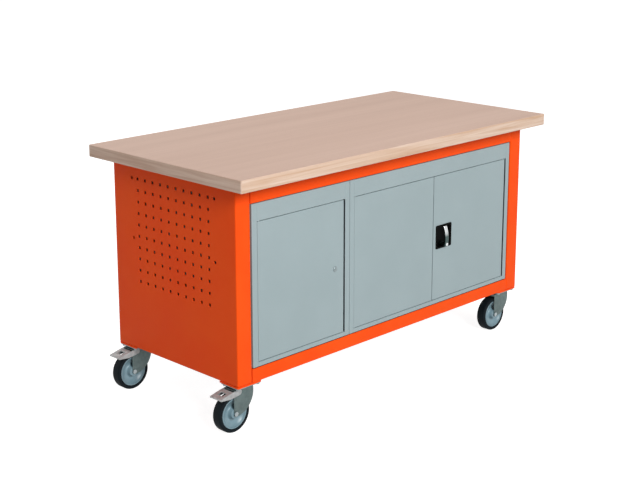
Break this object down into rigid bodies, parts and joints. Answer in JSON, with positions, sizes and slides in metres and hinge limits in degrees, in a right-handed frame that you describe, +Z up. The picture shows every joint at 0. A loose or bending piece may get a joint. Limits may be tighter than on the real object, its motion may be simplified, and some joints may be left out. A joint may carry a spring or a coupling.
{
  "type": "workbench with cabinet doors",
  "caption": "Mobile workshop bench: beech worktop on a folded steel frame with perforated ends, lockable cabinets with hinged doors, and swivel casters, some braked.",
  "frame": {"origin": "on the floor below the middle of the worktop", "axes": "+X to the right of someone facing the doors, +Y to the back, +Z up"},
  "size_m": [1.514, 0.74, 0.825],
  "materials": {
    "beech": "oiled beech board",
    "orange_paint": "orange powder coat",
    "grey_paint": "pale grey powder coat",
    "zinc_steel": "bright zinc plate",
    "chrome_plate": "polished chrome plate",
    "black_plastic": "moulded, matte",
    "blue_grey_plastic": "moulded wheel core",
    "black_rubber": "solid rubber"
  },
  "bodies": {
    "bench": {"left_side_panel": "orange_paint", "right_side_panel": "orange_paint", "front_top_rail": "orange_paint", "front_bottom_rail": "orange_paint", "rear_top_rail": "orange_paint", "rear_bottom_rail": "orange_paint", "caster_base_plates": "orange_paint", "left_cabinet_shell": "grey_paint", "left_cabinet_roof": "grey_paint", "left_cabinet_base": "grey_paint", "left_shelf": "grey_paint", "right_cabinet_shell": "grey_paint", "right_cabinet_roof": "grey_paint", "right_cabinet_base": "grey_paint", "right_shelf": "grey_paint", "worktop_screws": "zinc_steel", "frame_bolts": "zinc_steel", "shelf_clips": "zinc_steel", "door_pivot_pins": "zinc_steel", "caster_top_plates": "zinc_steel", "caster_kingpins": "zinc_steel", "caster_bolts": "zinc_steel", "worktop": "beech", "cabinet_spacers": "black_plastic", "magnetic_catch": "black_plastic"},
    "left_door": {"left_door_panel": "grey_paint", "left_door_stiffener": "grey_paint", "left_lock_barrel": "chrome_plate", "left_lock_nut": "zinc_steel"},
    "left_lock": {"left_lock_plug": "chrome_plate", "left_lock_cam": "zinc_steel"},
    "middle_door": {"middle_door_panel": "grey_paint", "middle_door_stiffener": "grey_paint"},
    "right_door": {"right_door_panel": "grey_paint", "right_door_stiffener": "grey_paint", "handle_cup": "black_plastic", "rod_guides": "black_plastic"},
    "handle": {"handle_lever": "chrome_plate", "lock_disc": "zinc_steel"},
    "handle_key": {"handle_lock_plug": "chrome_plate"},
    "upper_rod": {"upper_lock_rod": "zinc_steel"},
    "lower_rod": {"lower_lock_rod": "zinc_steel"},
    "front_left_swivel": {"front_left_fork": "zinc_steel", "front_left_axle_bolt": "zinc_steel"},
    "front_left_wheel": {"front_left_wheel_core": "blue_grey_plastic", "front_left_tyre": "black_rubber"},
    "front_left_brake": {"front_left_brake_pedal": "zinc_steel"},
    "rear_left_swivel": {"rear_left_fork": "zinc_steel", "rear_left_axle_bolt": "zinc_steel"},
    "rear_left_wheel": {"rear_left_wheel_core": "blue_grey_plastic", "rear_left_tyre": "black_rubber"},
    "rear_left_brake": {"rear_left_brake_pedal": "zinc_steel"},
    "front_right_swivel": {"front_right_fork": "zinc_steel", "front_right_axle_bolt": "zinc_steel"},
    "front_right_wheel": {"front_right_wheel_core": "blue_grey_plastic", "front_right_tyre": "black_rubber"},
    "rear_right_swivel": {"rear_right_fork": "zinc_steel", "rear_right_axle_bolt": "zinc_steel"},
    "rear_right_wheel": {"rear_right_wheel_core": "blue_grey_plastic", "rear_right_tyre": "black_rubber"}
  },
  "joints": [
    {"name": "left_door_hinge", "type": "hinge", "parent": "bench", "child": "left_door", "pos_m": [-0.6095, -0.286, 0.44025], "axis": [0, 0, -1], "range_deg": [0, 110]},
    {"name": "middle_door_hinge", "type": "hinge", "parent": "bench", "child": "middle_door", "pos_m": [-0.179, -0.286, 0.44025], "axis": [0, 0, -1], "range_deg": [0, 110]},
    {"name": "right_door_hinge", "type": "hinge", "parent": "bench", "child": "right_door", "pos_m": [0.609, -0.286, 0.44025], "axis": [0, 0, 1], "range_deg": [0, 110]},
    {"name": "left_lock_turn", "type": "hinge", "parent": "left_door", "child": "left_lock", "pos_m": [-0.2785, -0.28, 0.44025], "axis": [0, -1, 0], "range_deg": [0, 90]},
    {"name": "handle_turn", "type": "hinge", "parent": "right_door", "child": "handle", "pos_m": [0.272, -0.285, 0.41375], "axis": [0, -1, 0], "range_deg": [0, 90]},
    {"name": "handle_key_turn", "type": "hinge", "parent": "handle", "child": "handle_key", "pos_m": [0.272, -0.3, 0.41375], "axis": [0, -1, 0], "range_deg": [0, 90]},
    {"name": "upper_rod_slide", "type": "slide", "parent": "right_door", "child": "upper_rod", "axis": [0, 0, 1], "range_m": [0, 0.01558]},
    {"name": "lower_rod_slide", "type": "slide", "parent": "right_door", "child": "lower_rod", "axis": [0, 0, -1], "range_m": [0, 0.01558]},
    {"name": "front_left_swivel_turn", "type": "hinge", "parent": "bench", "child": "front_left_swivel", "pos_m": [-0.657, -0.253, 0.14], "axis": [0, 0, 1], "continuous": true},
    {"name": "front_left_wheel_spin", "type": "hinge", "parent": "front_left_swivel", "child": "front_left_wheel", "pos_m": [-0.7, -0.253, 0.0625], "axis": [0, 1, 0], "continuous": true},
    {"name": "front_left_brake_press", "type": "hinge", "parent": "front_left_swivel", "child": "front_left_brake", "pos_m": [-0.687, -0.253, 0.1315], "axis": [0, -1, 0], "range_deg": [0, 7], "stiffness_Nm_per_rad": 20},
    {"name": "rear_left_swivel_turn", "type": "hinge", "parent": "bench", "child": "rear_left_swivel", "pos_m": [-0.657, 0.253, 0.14], "axis": [0, 0, 1], "continuous": true},
    {"name": "rear_left_wheel_spin", "type": "hinge", "parent": "rear_left_swivel", "child": "rear_left_wheel", "pos_m": [-0.7, 0.253, 0.0625], "axis": [0, 1, 0], "continuous": true},
    {"name": "rear_left_brake_press", "type": "hinge", "parent": "rear_left_swivel", "child": "rear_left_brake", "pos_m": [-0.687, 0.253, 0.1315], "axis": [0, -1, 0], "range_deg": [0, 7], "stiffness_Nm_per_rad": 20},
    {"name": "front_right_swivel_turn", "type": "hinge", "parent": "bench", "child": "front_right_swivel", "pos_m": [0.657, -0.253, 0.14], "axis": [0, 0, 1], "continuous": true},
    {"name": "front_right_wheel_spin", "type": "hinge", "parent": "front_right_swivel", "child": "front_right_wheel", "pos_m": [0.614, -0.253, 0.0625], "axis": [0, 1, 0], "continuous": true},
    {"name": "rear_right_swivel_turn", "type": "hinge", "parent": "bench", "child": "rear_right_swivel", "pos_m": [0.657, 0.253, 0.14], "axis": [0, 0, 1], "continuous": true},
    {"name": "rear_right_wheel_spin", "type": "hinge", "parent": "rear_right_swivel", "child": "rear_right_wheel", "pos_m": [0.614, 0.253, 0.0625], "axis": [0, 1, 0], "continuous": true}
  ],
  "couplings": [
    {"joint": "upper_rod_slide", "follows": "handle_turn", "m_per_rad": 0.0099035},
    {"joint": "lower_rod_slide", "follows": "handle_turn", "m_per_rad": 0.0099035}
  ]
}
